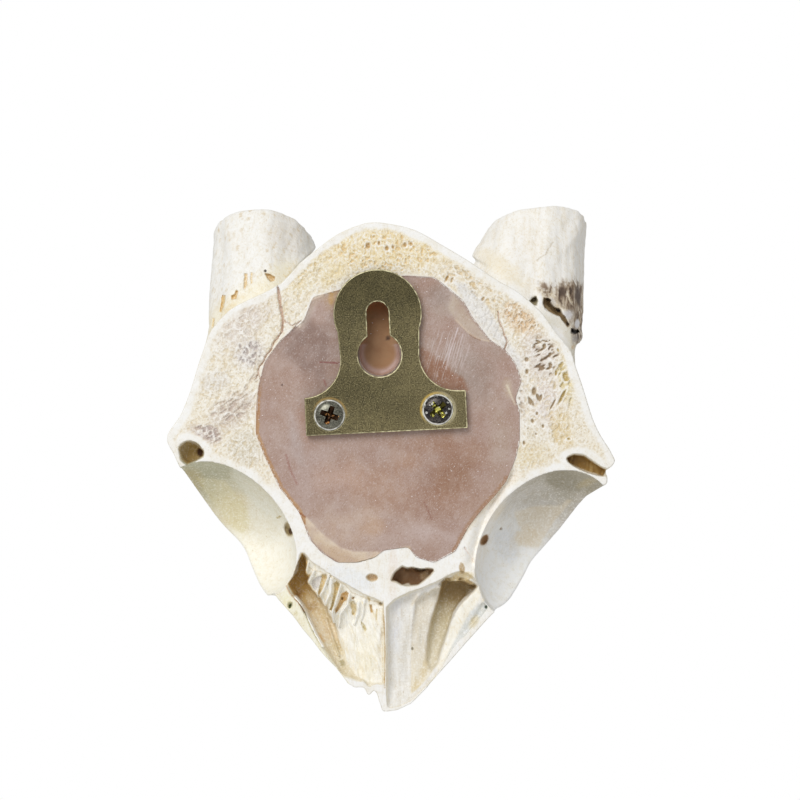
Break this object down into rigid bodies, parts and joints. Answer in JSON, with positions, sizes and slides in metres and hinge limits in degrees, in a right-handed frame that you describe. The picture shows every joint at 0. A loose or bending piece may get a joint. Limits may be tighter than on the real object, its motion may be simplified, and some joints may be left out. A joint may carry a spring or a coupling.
{
  "type": "antelope skull cap",
  "caption": "Skull cap of a small antelope with sawn horn cores, its back sawn flat, resin-filled and fitted with a keyhole hanger plate.",
  "frame": {"origin": "on the outer face of the hanger plate, between its two screws", "axes": "-Y out of the hanger plate towards the wall, +Y to the forehead, +Z from the nose to the back of the head, which is up as it hangs, +X to the viewer's right as the sawn back is seen"},
  "size_m": [0.0998, 0.0559, 0.1151],
  "materials": {
    "bone": "matte, with open pores along the sawn edge",
    "horn_bone": "matte, porous and lightly fluted",
    "thin_bone": "smooth and dry",
    "resin": "flat-sanded resin with fine scratches",
    "brass": "aged brass, dull and speckled",
    "zinc": "zinc-plated steel, lightly tarnished"
  },
  "bodies": {
    "root": {"frontal_left": "bone", "frontal_right": "bone", "parietal": "bone", "nasal_left": "bone", "nasal_right": "bone", "lacrimal_left": "bone", "lacrimal_right": "bone", "horn_core_left": "horn_bone", "horn_core_right": "horn_bone", "ethmoid": "thin_bone", "nasal_septum": "thin_bone", "braincase_fill": "resin", "hanger_plate": "brass", "screw_left": "zinc", "screw_right": "zinc"}
  },
  "joints": []
}
